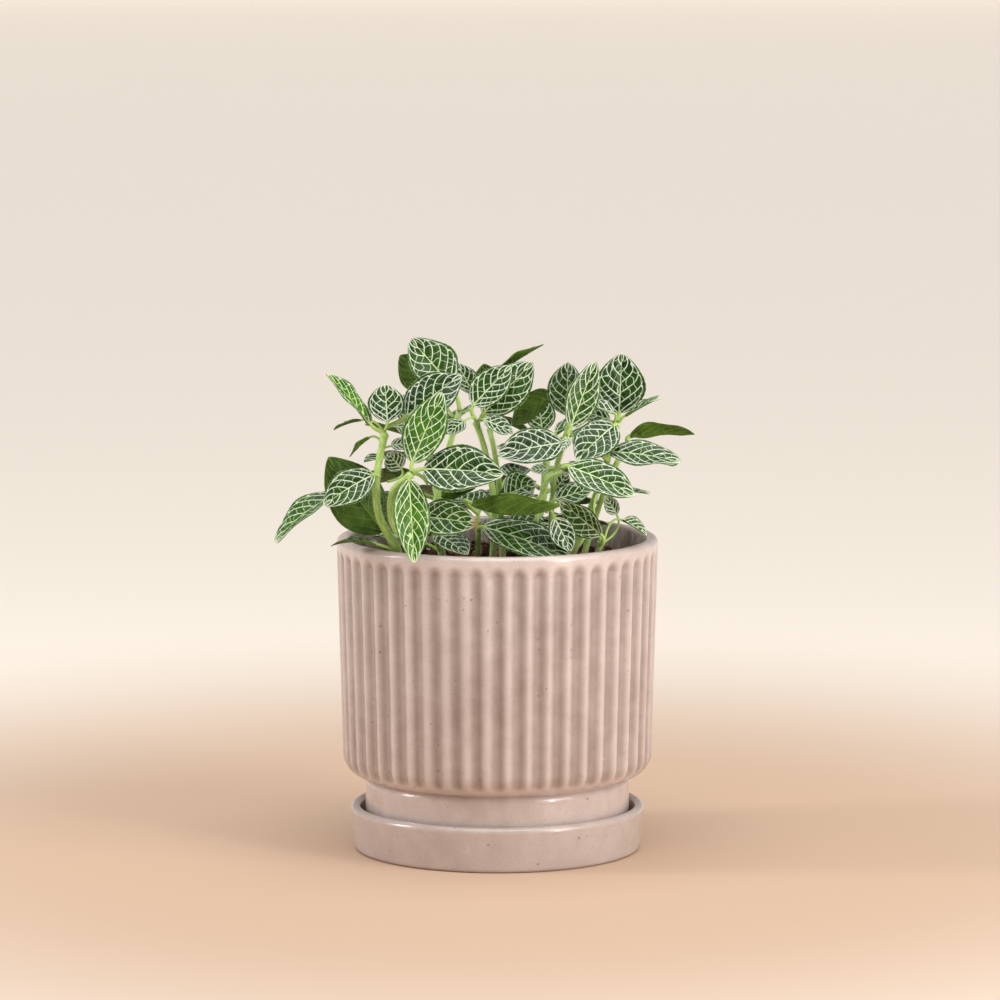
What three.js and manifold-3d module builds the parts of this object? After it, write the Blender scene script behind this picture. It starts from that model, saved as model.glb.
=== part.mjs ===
// Nerve plant in a ribbed, glazed pot on its own saucer.
// Millimetres, +Z up, front towards -Y, origin at the centre of the saucer's underside.
import * as THREE from 'three';
import { mergeVertices } from 'three/addons/utils/BufferGeometryUtils.js';
import Module from 'manifold-3d';

const GAP = 0.3;               // clearance left wherever two pieces rest on each other

// Saucer
const SAUCER_BOTTOM_RADIUS = 53.6;
const SAUCER_RADIUS = 55;
const SAUCER_HEIGHT = 16.9;
const SAUCER_WALL = 3.8;
const SAUCER_FLOOR = 4;

// Pot
const RIM_RADIUS = 60;
const RIM_HEIGHT = 117.5;
const WALL = 4.5;
const FOOT_RADIUS = 49.4;
const FOOT_BOTTOM = SAUCER_FLOOR + GAP;
const BODY_BOTTOM = 28.4;
const BODY_EDGE_RADIUS = 57.8;
const BODY_EDGE_HEIGHT = 36.5;
const RIBS = 48;
const RIB_DEPTH = 1.4;
const RIB_SECTION = [[0, -1], [0.25, -0.45], [0.5, 0], [0.75, -0.45]];  // [share of pitch, depth]
const RIB_TOP = 112.5;
const POT_FLOOR = 10;
const WELL_RADIUS = 45;
const DRAIN_RADIUS = 7;

// Soil
const SOIL_EDGE = 107;
const SOIL_CROWN = 2.5;
const SOIL_RADIUS = RIM_RADIUS - WALL - GAP;

// Plant
const STEM_SIDES = 6;
const STEM_STEPS = 8;
const FOOT_LIFT = 0.9;         // stem foot above the soil, enough for its tilt
const PETIOLE_RADIUS = 0.8;
const TIP_TAPER = 0.32; // share of the width taken off towards the tip of a blade
const PETIOLE_CLEARANCE = 2.5; // a petiole starts this far from the axis of its stem
const BLADE_HALF_THICKNESS = 0.4;
const BLADE_ROWS = [0.05, 0.18, 0.38, 0.6, 0.8, 0.94];

const GLAZE = { color: 0xae9486, roughness: 0.25, metalness: 0 };
const EARTH = { color: 0x4a3323, roughness: 1, metalness: 0 };
const LEAF_GREEN = { color: 0x35702a, roughness: 0.5, metalness: 0 };
const STEM_GREEN = { color: 0xa3b878, roughness: 0.6, metalness: 0 };

// name, radius at the foot, radius at the top, points from the soil upwards
const STEMS = [
  ["stem_a", 1.8, 1.3, [[-35, -36, 107], [-37, -37, 118], [-43, -41, 130], [-44, -42, 144], [-41, -40, 161]]],
  ["stem_b", 1.8, 1.3, [[-30, -39, 107], [-32, -41, 118], [-38, -45, 129], [-38, -47, 140], [-31, -50, 147]]],
  ["stem_c", 1.4, 1.1, [[-2, -22, 108], [-1, -23, 130], [-4, -22, 150], [-8, -20, 163]]],
  ["stem_d", 1.4, 1.1, [[-20, -18, 108], [-22, -20, 134], [-18, -20, 152], [-14, -19, 166]]],
  ["stem_e", 1.1, 0.8, [[12, -31, 108], [14, -33, 126], [18, -37, 142], [24, -41, 147]]],
  ["stem_f", 1.1, 0.9, [[20, -20, 108], [20, -22, 130], [22, -24, 147], [26, -24, 158]]],
  ["stem_g", 1.4, 1.1, [[26, -10, 108], [34, -14, 128], [40, -18, 146], [44, -16, 161]]],
  ["stem_h", 1.3, 1.0, [[30, -22, 108], [37, -22, 130], [43, -20, 145], [48, -15, 154]]],
  ["stem_i", 1.2, 1.0, [[32, -31, 107], [36, -33, 113], [38, -34, 120]]],
  ["stem_j", 1.2, 1.0, [[-8, -29, 108], [-7, -31, 118], [-7, -32, 128]]],
  ["stem_k", 1.6, 1.3, [[-16, 14, 108], [-22, 20, 128], [-26, 24, 150]]],
  ["stem_l", 1.6, 1.3, [[12, 16, 108], [17, 22, 128], [19, 26, 150]]],
  ["stem_m", 1.3, 1.0, [[2, -6, 109], [1, -10, 134], [-1, -12, 150], [-3, -9, 159]]],
];

// node, point on the stem, blade base, blade tip, width, direction the upper face looks,
// bend along the midrib and fold across it in degrees; a stem's name joins the leaf to that stem
const LEAVES = [
  ["leaf_01", [-41, -40, 161], [-46, -40, 164], [-62, -44, 183], 14, [8, -3, 6], 12, 12],
  ["stem_a", [-41, -40, 160], [-50, -32, 165], [-60, -31, 161], 8, [-2, 1, 9], 25, 10],
  ["stem_a", [-42, -40, 157], [-47, -37, 159], [-54, -39, 152], 6, [-3, 2, 5], 20, 10],
  ["leaf_04", [-41, -41, 162], [-40, -41, 165], [-41, -34, 178], 14, [0, -8, 5], 8, 10],
  ["leaf_05", [-14, -20, 167], [-17, -21, 176], [-32, -19, 193], 19, [2, -9, 4], 15, 8],
  ["leaf_06", [-40, -39, 163], [-33, -38, 167], [-13, -32, 181], 18, [-2, -8, 5], 12, 10],
  ["leaf_07", [-16, -18, 164], [-25, -10, 174], [-36, -8, 186], 14, [-3, 8, 4], 10, 8],
  ["leaf_08", [-31, -50, 148], [-31, -50, 151], [-20, -44, 176], 16, [-1, -9, 3], 10, 12],
  ["leaf_09", [-30, -50, 148], [-27, -51, 149], [2, -60, 148], 20, [0, -8, 5], 18, 8],
  ["leaf_10", [-32, -50, 147], [-32, -51, 145], [-30, -62, 116], 14, [1, -9, 2], 10, 10],
  ["leaf_11", [-34, -43, 128], [-29, -46, 131], [-7, -53, 129], 15, [0, -8, 5], 14, 8],
  ["leaf_12", [-43, -43, 145], [-45, -43, 146], [-63, -47, 135], 15, [-3, -8, 4], 30, 8],
  ["leaf_13", [-45, -39, 140], [-59, -38, 138], [-81, -43, 121], 17, [-6, -4, 7], 34, 14],
  ["leaf_14", [-37, -33, 115], [-42, -30, 123], [-62, -34, 151], 22, [-6, 7, 4], 10, 5],
  ["leaf_15", [-40, -41, 143], [-35, -36, 147], [-40, -35, 153], 9, [-2, -9, 1], 5, 8],
  ["stem_a", [-42, -41, 152], [-39, -30, 155], [-31, -30, 156], 6, [0, -7, 6], 10, 8],
  ["stem_a", [-41, -40, 160], [-37, -33, 163], [-30, -33, 158], 6, [0, -5, 7], 15, 8],
  ["leaf_19", [-38, -37, 117], [-44, -38, 120], [-61, -37, 119], 10, [0, 0, 9], 40, 8],
  ["leaf_20", [-8, -22, 164], [-9, -23, 169], [5, -18, 183], 14, [-1, -9, 4], 10, 10],
  ["leaf_21", [-6, -19, 163], [-5, -20, 166], [13, -14, 184], 17, [2, -9, 4], 10, 10],
  ["leaf_22", [-3, -10, 160], [-2, -6, 179], [17, -6, 190], 10, [0, 2, 9], 8, 8],
  ["stem_m", [-3, -8, 158], [-3, -1, 171], [-5, 0, 182], 11, [0, 8, 5], 8, 8],
  ["stem_d", [-13, -19, 166], [-9, -8, 172], [-15, -6, 183], 9, [3, -8, 3], 8, 8],
  ["stem_c", [-8, -20, 163], [-12, -27, 164], [-18, -29, 159], 8, [-4, -7, 6], 12, 10],
  ["stem_c", [-7, -20, 163], [-5, -24, 164], [6, -25, 159], 9, [0, -6, 8], 12, 10],
  ["leaf_27", [26, -26, 156], [24, -28, 156], [0, -36, 152], 16, [0, -8, 6], 14, 8],
  ["leaf_28", [22, -23, 148], [20, 0, 171], [5, -6, 160], 14, [-3, 7, 5], 12, 8],
  ["leaf_29", [25, -22, 158], [26, -13, 164], [26, -12, 184], 16, [-4, -8, 2], 8, 10],
  ["leaf_30", [26, -25, 158], [27, -24, 161], [36, -20, 185], 13, [3, -9, 2], 10, 12],
  ["stem_f", [22, -24, 147], [19, -20, 145], [12, -21, 145], 5, [0, -6, 6], 10, 5],
  ["leaf_32", [-7, -33, 124], [-5, -37, 126], [27, -44, 115], 19, [0, -6, 8], 14, 8],
  ["leaf_33", [-7, -32, 130], [-9, -46, 136], [23, -46, 135], 20, [0, 4, 9], -50, 32],
  ["stem_j", [-7, -32, 127], [-4, -33, 134], [15, -32, 137], 9, [0, -2, 9], 12, 10],
  ["leaf_35", [0, -22, 130], [3, -26, 136], [14, -27, 141], 15, [-3, -7, 3], 14, 8],
  ["stem_c", [-1, -22, 126], [1, -18, 133], [9, -18, 138], 9, [0, 7, 6], 10, 8],
  ["leaf_37", [18, -30, 130], [21, -30, 135], [35, -30, 139], 10, [0, -7, 6], 12, 8],
  ["leaf_38", [38, -35, 119], [38, -38, 123], [23, -38, 136], 13, [-3, -9, -3], 12, 18],
  ["leaf_39", [18, -33, 134], [21, -44, 130], [27, -45, 118], 10, [0, -9, 3], 10, 8],
  ["stem_f", [19, -22, 130], [21, -22, 137], [26, -22, 144], 8, [2, -7, 4], 10, 8],
  ["leaf_42", [44, -16, 162], [45, -14, 165], [46, -10, 187], 19, [0, -9, 3], 10, 8],
  ["leaf_43", [45, -17, 162], [47, -18, 165], [60, -22, 172], 9, [-1, -2, 9], 10, 10],
  ["leaf_44", [43, -17, 162], [43, -18, 166], [30, -18, 169], 10, [0, -4, 9], 12, 25],
  ["stem_g", [43, -16, 160], [42, -9, 162], [29, -10, 166], 11, [-1, -5, 7], 10, 8],
  ["leaf_45", [43, -19, 160], [43, -24, 162], [29, -34, 150], 17, [-2, -8, 5], 14, 8],
  ["leaf_46", [41, -20, 148], [41, -30, 153], [67, -38, 150], 14, [0, -6, 8], 14, 8],
  ["leaf_47", [48, -15, 155], [49, -14, 157], [73, -18, 158], 12, [1, 5, 8], 22, 10],
  ["leaf_48", [24, -41, 148], [26, -42, 149], [50, -50, 139], 15, [1, -7, 6], 14, 8],
  ["stem_i", [38, -34, 120], [41, -29, 139], [56, -27, 137], 7, [0, -2, 9], 10, 8],
  ["stem_i", [38, -33, 119], [44, -27, 129], [40, -26, 136], 6, [-2, -8, 2], 10, 20],
  ["leaf_50", [39, -35, 119], [46, -32, 128], [55, -32, 122], 8, [-2, -3, 9], 16, 35],
  ["leaf_61", [20, 26, 150], [22, 30, 153], [42, 38, 163], 17, [-4, -1, 8], 14, 8],
  ["leaf_62", [17, 27, 150], [14, 32, 152], [-4, 44, 158], 17, [4, 2, 8], 14, 8],
  ["leaf_63", [20, 27, 136], [22, 34, 138], [36, 58, 132], 18, [3, 6, 7], 20, 8],
  ["leaf_64", [16, 27, 132], [10, 36, 134], [0, 62, 126], 18, [0, 6, 7], 20, 8],
  ["leaf_65", [-27, 23, 150], [-30, 24, 152], [-50, 30, 156], 17, [3, 1, 8], 14, 8],
  ["leaf_66", [-24, 25, 150], [-20, 30, 155], [-12, 50, 160], 16, [-2, 2, 8], 14, 8],
  ["leaf_67", [-26, 25, 134], [-32, 28, 138], [-54, 44, 130], 18, [-4, 6, 7], 20, 8],
  ["leaf_68", [-22, 26, 128], [-22, 34, 132], [-22, 62, 122], 18, [0, 6, 7], 20, 8],
  ["leaf_69", [44, -12, 146], [48, -6, 148], [68, 12, 144], 17, [3, -2, 8], 18, 8],
  ["stem_f", [26, -24, 158], [26, -28, 158], [24, -30, 153], 4, [-3, -8, 2], 8, 5],
  ["stem_f", [26, -24, 158], [28, -27, 158], [31, -29, 154], 4, [2, -8, 3], 8, 5],
  ["stem_d", [-21, -19, 114], [-22, -27, 122], [-11, -41, 116], 14, [1, -4, 7], 14, 8],
  ["stem_d", [-22, -20, 130], [-22, -15, 135], [-6, -14, 141], 15, [-1, 6, 5], 14, 8],
  ["stem_c", [-1, -23, 120], [4, -18, 124], [20, -10, 122], 16, [1, -5, 7], 14, 8],
  ["stem_c", [-1, -22, 126], [-6, -14, 130], [-16, 2, 132], 15, [-2, -3, 8], 16, 8],
  ["stem_k", [-24, 22, 142], [-32, 19, 146], [-50, 12, 144], 16, [-3, -1, 8], 18, 8],
  ["stem_k", [-26, 24, 148], [-24, 18, 152], [-18, 2, 156], 14, [-2, -3, 8], 14, 8],
  ["stem_k", [-22, 20, 128], [-34, 14, 132], [-52, 2, 128], 16, [-4, -1, 8], 20, 8],
  ["stem_l", [19, 26, 148], [26, 20, 153], [42, 14, 156], 16, [2, -2, 8], 16, 8],
  ["stem_l", [17, 22, 130], [28, 26, 134], [50, 36, 128], 17, [4, 3, 8], 20, 8],
  ["stem_l", [17, 22, 128], [8, 16, 132], [-6, 8, 130], 15, [-1, -2, 8], 16, 8],
  ["stem_m", [1, -10, 134], [4, 0, 140], [10, 14, 142], 12, [2, 1, 9], 16, 8],
  ["stem_g", [34, -14, 128], [38, -4, 131], [30, 12, 128], 14, [1, 2, 8], 18, 8],
  ["stem_l", [19, 25, 148], [17, 23, 154], [15, 23, 169], 12, [-1, -7, 4], 12, 8],
  ["stem_k", [-25, 23, 146], [-29, 22, 153], [-36, 26, 168], 13, [2, -6, 5], 12, 8],
  ["stem_k", [-20, 18, 119], [-27, 23, 123], [-40, 35, 120], 15, [-3, 4, 8], 18, 8],
  ["stem_l", [14, 18, 118], [22, 26, 122], [34, 42, 117], 15, [3, 4, 8], 18, 8],
  ["stem_k", [-18, 16, 116], [-19, 25, 119], [-22, 42, 116], 12, [0, 4, 8], 18, 8],
  ["stem_l", [18, 24, 142], [14, 18, 146], [0, 8, 150], 13, [-2, -3, 8], 14, 8],
  ["stem_l", [13, 18, 116], [21, 19, 120], [42, 22, 119], 15, [2, 1, 9], 18, 8],
  ["stem_g", [29, -11, 114], [32, -3, 117], [36, 14, 119], 13, [0, 2, 9], 18, 8],
  ["stem_d", [-20, -18, 113], [-27, -15, 117], [-46, -10, 119], 14, [-2, 0, 9], 18, 8],
  ["stem_d", [-21, -19, 117], [-25, -9, 122], [-34, 6, 122], 14, [-2, 2, 9], 18, 8],
  ["stem_m", [2, -6, 114], [-2, 2, 118], [-2, 20, 121], 13, [-1, 1, 9], 18, 8],
  ["stem_m", [2, -7, 118], [8, -2, 122], [24, 4, 123], 13, [1, 1, 9], 18, 8],
  ["stem_k", [-17, 15, 113], [-25, 12, 117], [-44, 10, 117], 13, [-2, 0, 9], 18, 8],
  ["stem_l", [18, 24, 138], [27, 22, 142], [45, 24, 140], 14, [3, 1, 8], 16, 8],
  ["stem_k", [-23, 21, 132], [-18, 28, 136], [-8, 42, 135], 14, [1, 3, 8], 16, 8],
  ["stem_l", [16, 21, 124], [10, 28, 126], [2, 42, 122], 13, [0, 3, 8], 16, 8],
];

const vec = ([x, y, z]) => new THREE.Vector3(x, y, z);

function soilHeight(x, y) {
  return SOIL_EDGE + SOIL_CROWN * (1 - (x * x + y * y) / (SOIL_RADIUS * SOIL_RADIUS));
}

// Closed solid through rings of equal count, each running counter-clockwise about the way
// the rings advance; the two ends close on a centre point.
function sweep(rings, start, end) {
  const count = rings[0].length;
  const points = [...rings.flat(), start, end];
  const startIndex = points.length - 2;
  const endIndex = points.length - 1;
  const index = [];
  for (let i = 0; i < rings.length; i += 1) {
    for (let k = 0; k < count; k += 1) {
      const next = (k + 1) % count;
      const a = i * count + k;
      const b = i * count + next;
      if (i === 0) index.push(startIndex, b, a);
      if (i === rings.length - 1) index.push(endIndex, a, b);
      else index.push(a, b, b + count, a, b + count, a + count);
    }
  }
  const geometry = new THREE.BufferGeometry();
  const flat = points.flatMap((p) => [p.x, p.y, p.z]);
  geometry.setAttribute('position', new THREE.Float32BufferAttribute(flat, 3));
  geometry.setIndex(index);
  return geometry;
}

// Solid of revolution about Z from [radius, height] rows; `section` shapes the ribs.
function revolve(rows, angles, start, end, section = () => 0) {
  const rings = rows.map(([radius, z, depth = 0]) => angles.map((angle, k) => {
    const r = radius + depth * section(k);
    return new THREE.Vector3(r * Math.cos(angle), r * Math.sin(angle), z);
  }));
  return sweep(rings, new THREE.Vector3(0, 0, start), new THREE.Vector3(0, 0, end));
}

function evenAngles(count) {
  return Array.from({ length: count }, (_, k) => (2 * Math.PI * k) / count);
}

function ribAngles() {
  const angles = [];
  for (let rib = 0; rib < RIBS; rib += 1) {
    for (const [share] of RIB_SECTION) angles.push((2 * Math.PI * (rib + share)) / RIBS);
  }
  return angles;
}

function makePot(kernel) {
  const shell = revolve([
    [51, BODY_BOTTOM],
    [54.2, 30.4, RIB_DEPTH * 0.4],
    [BODY_EDGE_RADIUS, BODY_EDGE_HEIGHT, RIB_DEPTH],
    [RIM_RADIUS - 0.1, RIB_TOP, RIB_DEPTH],
    [RIM_RADIUS, RIB_TOP + 2],
    [RIM_RADIUS, RIM_HEIGHT - 1],
    [RIM_RADIUS - 1, RIM_HEIGHT],
  ], ribAngles(), BODY_BOTTOM, RIM_HEIGHT, (k) => RIB_SECTION[k % RIB_SECTION.length][1]);
  const foot = revolve([
    [FOOT_RADIUS - 1, FOOT_BOTTOM],
    [FOOT_RADIUS, FOOT_BOTTOM + 1],
    [FOOT_RADIUS, BODY_BOTTOM + 2],
  ], evenAngles(64), FOOT_BOTTOM, BODY_BOTTOM + 2);
  const cavity = revolve([
    [DRAIN_RADIUS, FOOT_BOTTOM - 2],
    [DRAIN_RADIUS, POT_FLOOR],
    [WELL_RADIUS, POT_FLOOR],
    [WELL_RADIUS, 30],
    [53, 37],
    [RIM_RADIUS - WALL, 98],
    [RIM_RADIUS - WALL, RIM_HEIGHT - 2],
    [RIM_RADIUS - WALL + 1, RIM_HEIGHT + 1],
  ], evenAngles(64), FOOT_BOTTOM - 2, RIM_HEIGHT + 1);
  return kernel.toGeometry(kernel.solid(shell).add(kernel.solid(foot)).subtract(kernel.solid(cavity)));
}

function makeSaucer() {
  const inner = SAUCER_RADIUS - SAUCER_WALL;
  return revolve([
    [SAUCER_BOTTOM_RADIUS - 1.2, 0],
    [SAUCER_BOTTOM_RADIUS, 1.2],
    [SAUCER_RADIUS, SAUCER_HEIGHT - 1.6],
    [SAUCER_RADIUS - 0.7, SAUCER_HEIGHT - 0.4],
    [SAUCER_RADIUS - 1.9, SAUCER_HEIGHT],
    [inner + 0.5, SAUCER_HEIGHT - 0.6],
    [inner, SAUCER_HEIGHT - 2],
    [inner - 0.6, SAUCER_FLOOR + 1],
    [inner - 1.4, SAUCER_FLOOR],
  ], evenAngles(48), 0, SAUCER_FLOOR);
}

function makeSoil() {
  const rows = [
    [WELL_RADIUS - GAP, POT_FLOOR + GAP],
    [WELL_RADIUS - GAP, 30.2],
    [53 - GAP, 37.2],
    [SOIL_RADIUS, SOIL_EDGE],
  ];
  for (const radius of [40, 22]) rows.push([radius, soilHeight(radius, 0)]);
  return revolve(rows, evenAngles(64), POT_FLOOR + GAP, soilHeight(0, 0));
}

// Axes across a path, carried along it without twist; `normal` is the one at the first point.
function carryNormals(points, normal) {
  let current = normal.clone();
  return points.map((point, i) => {
    const before = points[Math.max(i - 1, 0)];
    const after = points[Math.min(i + 1, points.length - 1)];
    const along = after.clone().sub(before).normalize();
    current = current.clone().addScaledVector(along, -current.dot(along)).normalize();
    return { point, along, normal: current, side: along.clone().cross(current) };
  });
}

function circle({ point, normal, side }, radius, sides) {
  return evenAngles(sides).map((angle) => point.clone()
    .addScaledVector(normal, radius * Math.cos(angle))
    .addScaledVector(side, radius * Math.sin(angle)));
}

function makeStem([, footRadius, topRadius, path]) {
  const points = path.map(vec);
  points[0].z = soilHeight(points[0].x, points[0].y) + FOOT_LIFT;
  const curve = new THREE.CatmullRomCurve3(points, false, 'catmullrom', 0.5);
  const frames = carryNormals(curve.getPoints(STEM_STEPS), new THREE.Vector3(0, 1, 0));
  const rings = frames.map((frame, i) => {
    const radius = footRadius + (topRadius - footRadius) * (i / STEM_STEPS);
    return circle(frame, radius, STEM_SIDES);
  });
  return sweep(rings, frames[0].point, frames[frames.length - 1].point);
}

// Half width of a blade along its midrib, as a share of half the full width.
function bladeOutline(u) {
  return Math.sin(Math.PI * u ** 0.9) ** 0.6 * (1 - TIP_TAPER * u ** 4);
}

// Midrib as an arc through base and tip that bulges towards the upper face.
function midrib([, , base, tip, , face, bend]) {
  const from = vec(base);
  const chord = vec(tip).sub(from);
  const length = chord.length();
  const along = chord.clone().normalize();
  const up = vec(face);
  up.addScaledVector(along, -up.dot(along)).normalize();
  const angle = THREE.MathUtils.degToRad(bend);
  const radius = length / (2 * Math.sin(angle / 2));
  const centre = from.clone().addScaledVector(chord, 0.5);
  const side = along.clone().cross(up);
  return (u) => {
    const turn = angle * (u - 0.5);
    const point = centre.clone()
      .addScaledVector(along, radius * Math.sin(turn))
      .addScaledVector(up, radius * (Math.cos(turn) - Math.cos(angle / 2)));
    const normal = up.clone().multiplyScalar(Math.cos(turn)).addScaledVector(along, Math.sin(turn));
    const tangent = along.clone().multiplyScalar(Math.cos(turn)).addScaledVector(up, -Math.sin(turn));
    return { point, normal, side, tangent };
  };
}

// Offset of the blade across the midrib: [sideways, upwards] at distance x from it.
function crossSection(x, halfWidth, fold) {
  const angle = THREE.MathUtils.degToRad(Math.abs(fold));
  if (fold < 0) return [x, (-Math.sin(angle) * x * x) / halfWidth];
  return [x * Math.cos(angle), (Math.sqrt(x * x + 1.4) - 1.18) * Math.sin(angle)];
}

function bladeRing(frame, u, width, fold) {
  const half = (width / 2) * bladeOutline(u);
  const thick = Math.max(BLADE_HALF_THICKNESS, PETIOLE_RADIUS * (1 - 4 * u));
  const at = (v, lift) => {
    const [sideways, upwards] = crossSection(v * half, width / 2, fold);
    return frame.point.clone()
      .addScaledVector(frame.side, sideways)
      .addScaledVector(frame.normal, upwards + lift);
  };
  return [at(-1, 0), at(-0.5, thick * 0.75), at(0, thick), at(0.5, thick * 0.75),
    at(1, 0), at(0.5, -thick * 0.75), at(0, -thick), at(-0.5, -thick * 0.75)];
}

// Petiole rings from the stem to the blade, matching the eight points of a blade ring.
function petioleRings(leaf, base, joined) {
  const from = vec(leaf[1]);
  const reach = from.distanceTo(base.point);
  const pull = base.point.clone().addScaledVector(base.tangent, -reach / 2);
  const curve = new THREE.QuadraticBezierCurve3(from, pull, base.point);
  const all = curve.getPoints(12);
  const kept = all.filter((p) => joined || p.distanceTo(from) >= PETIOLE_CLEARANCE);
  const picked = kept.filter((p, i) => i === 0 || i === Math.floor(kept.length / 2));
  if (picked.length === 0 || kept.length < 3) return [];
  const frames = carryNormals([base.point, ...picked.reverse()], base.normal).slice(1).reverse();
  return frames.map(({ point, along, normal }) => {
    const side = along.clone().negate().cross(normal);
    const ring = circle({ point, normal, side }, PETIOLE_RADIUS, 8);
    return [...ring.slice(6), ...ring.slice(0, 6)];
  });
}

function makeLeaf(leaf, joined) {
  const [, , , , width, , , fold] = leaf;
  const rib = midrib(leaf);
  const rings = petioleRings(leaf, rib(0), joined);
  for (const u of BLADE_ROWS) rings.push(bladeRing(rib(u), u, width, fold));
  const start = new THREE.Vector3();
  for (const point of rings[0]) start.addScaledVector(point, 1 / rings[0].length);
  return sweep(rings, start, rib(1).point);
}

async function makeKernel() {
  const wasm = await Module();
  wasm.setup();
  const solid = (geometry) => {
    const welded = mergeVertices(geometry);
    return new wasm.Manifold(new wasm.Mesh({
      numProp: 3,
      vertProperties: welded.attributes.position.array,
      triVerts: new Uint32Array(welded.index.array),
    }));
  };
  const toGeometry = (body) => {
    const mesh = body.getMesh();
    const geometry = new THREE.BufferGeometry();
    geometry.setAttribute('position', new THREE.BufferAttribute(mesh.vertProperties, 3));
    geometry.setIndex(new THREE.BufferAttribute(mesh.triVerts, 1));
    return geometry;
  };
  return { solid, toGeometry };
}

async function build() {
  const kernel = await makeKernel();
  const group = new THREE.Group();
  group.name = 'potted_nerve_plant';
  const place = (name, geometry, look) => {
    const faceted = geometry.toNonIndexed();
    faceted.computeVertexNormals();
    const mesh = new THREE.Mesh(faceted, new THREE.MeshStandardMaterial(look));
    mesh.name = name;
    group.add(mesh);
  };
  place('saucer', makeSaucer(), GLAZE);
  place('pot', makePot(kernel), GLAZE);
  place('soil', makeSoil(), EARTH);
  for (const stem of STEMS) {
    const carried = LEAVES.filter((leaf) => leaf[0] === stem[0]);
    let body = kernel.solid(makeStem(stem));
    for (const leaf of carried) body = body.add(kernel.solid(makeLeaf(leaf, true)));
    place(stem[0], kernel.toGeometry(body), STEM_GREEN);
  }
  for (const leaf of LEAVES.filter(([name]) => name.startsWith('leaf'))) {
    place(leaf[0], makeLeaf(leaf, false), LEAF_GREEN);
  }
  return group;
}

export default await build();
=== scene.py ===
"""Looks of the potted nerve plant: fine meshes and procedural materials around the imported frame."""
import math
import random

import bmesh
import bpy
import numpy as np
from mathutils import Matrix, Vector


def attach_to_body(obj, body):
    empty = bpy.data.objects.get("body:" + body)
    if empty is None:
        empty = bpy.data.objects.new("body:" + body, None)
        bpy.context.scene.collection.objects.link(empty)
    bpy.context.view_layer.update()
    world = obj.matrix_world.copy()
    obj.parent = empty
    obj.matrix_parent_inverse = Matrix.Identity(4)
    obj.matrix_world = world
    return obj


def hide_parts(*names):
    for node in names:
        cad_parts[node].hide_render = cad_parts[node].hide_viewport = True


MM = 0.001

# Pot and saucer, in millimetres, as in the CAD
RIM_RADIUS = 60
RIM_HEIGHT = 117.5
WALL = 4.5
FOOT_RADIUS = 49.4
FOOT_BOTTOM = 4.3
BODY_BOTTOM = 28.4
BODY_EDGE_RADIUS = 57.8
BODY_EDGE_HEIGHT = 36.5
RIBS = 48
RIB_DEPTH = 1.5
RIB_TOP = 114.4
POT_FLOOR = 10
WELL_RADIUS = 45
DRAIN_RADIUS = 7
SAUCER_BOTTOM_RADIUS = 53.6
SAUCER_RADIUS = 55
SAUCER_HEIGHT = 16.9
SAUCER_WALL = 3.8
SAUCER_FLOOR = 4
SOIL_RADIUS = 55.2
SOIL_EDGE = 107
SOIL_CROWN = 2.5

# name, radius at the foot, radius at the top, points from the soil upwards
STEMS = [
    ["stem_a", 1.8, 1.3,
     [[-35, -36, 107], [-37, -37, 118], [-43, -41, 130], [-44, -42, 144], [-41, -40, 161]]],
    ["stem_b", 1.8, 1.3,
     [[-30, -39, 107], [-32, -41, 118], [-38, -45, 129], [-38, -47, 140], [-31, -50, 147]]],
    ["stem_c", 1.4, 1.1, [[-2, -22, 108], [-1, -23, 130], [-4, -22, 150], [-8, -20, 163]]],
    ["stem_d", 1.4, 1.1, [[-20, -18, 108], [-22, -20, 134], [-18, -20, 152], [-14, -19, 166]]],
    ["stem_e", 1.1, 0.8, [[12, -31, 108], [14, -33, 126], [18, -37, 142], [24, -41, 147]]],
    ["stem_f", 1.1, 0.9, [[20, -20, 108], [20, -22, 130], [22, -24, 147], [26, -24, 158]]],
    ["stem_g", 1.4, 1.1, [[26, -10, 108], [34, -14, 128], [40, -18, 146], [44, -16, 161]]],
    ["stem_h", 1.3, 1.0, [[30, -22, 108], [37, -22, 130], [43, -20, 145], [48, -15, 154]]],
    ["stem_i", 1.2, 1.0, [[32, -31, 107], [36, -33, 113], [38, -34, 120]]],
    ["stem_j", 1.2, 1.0, [[-8, -29, 108], [-7, -31, 118], [-7, -32, 128]]],
    ["stem_k", 1.6, 1.3, [[-16, 14, 108], [-22, 20, 128], [-26, 24, 150]]],
    ["stem_l", 1.6, 1.3, [[12, 16, 108], [17, 22, 128], [19, 26, 150]]],
    ["stem_m", 1.3, 1.0, [[2, -6, 109], [1, -10, 134], [-1, -12, 150], [-3, -9, 159]]],
]

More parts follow.
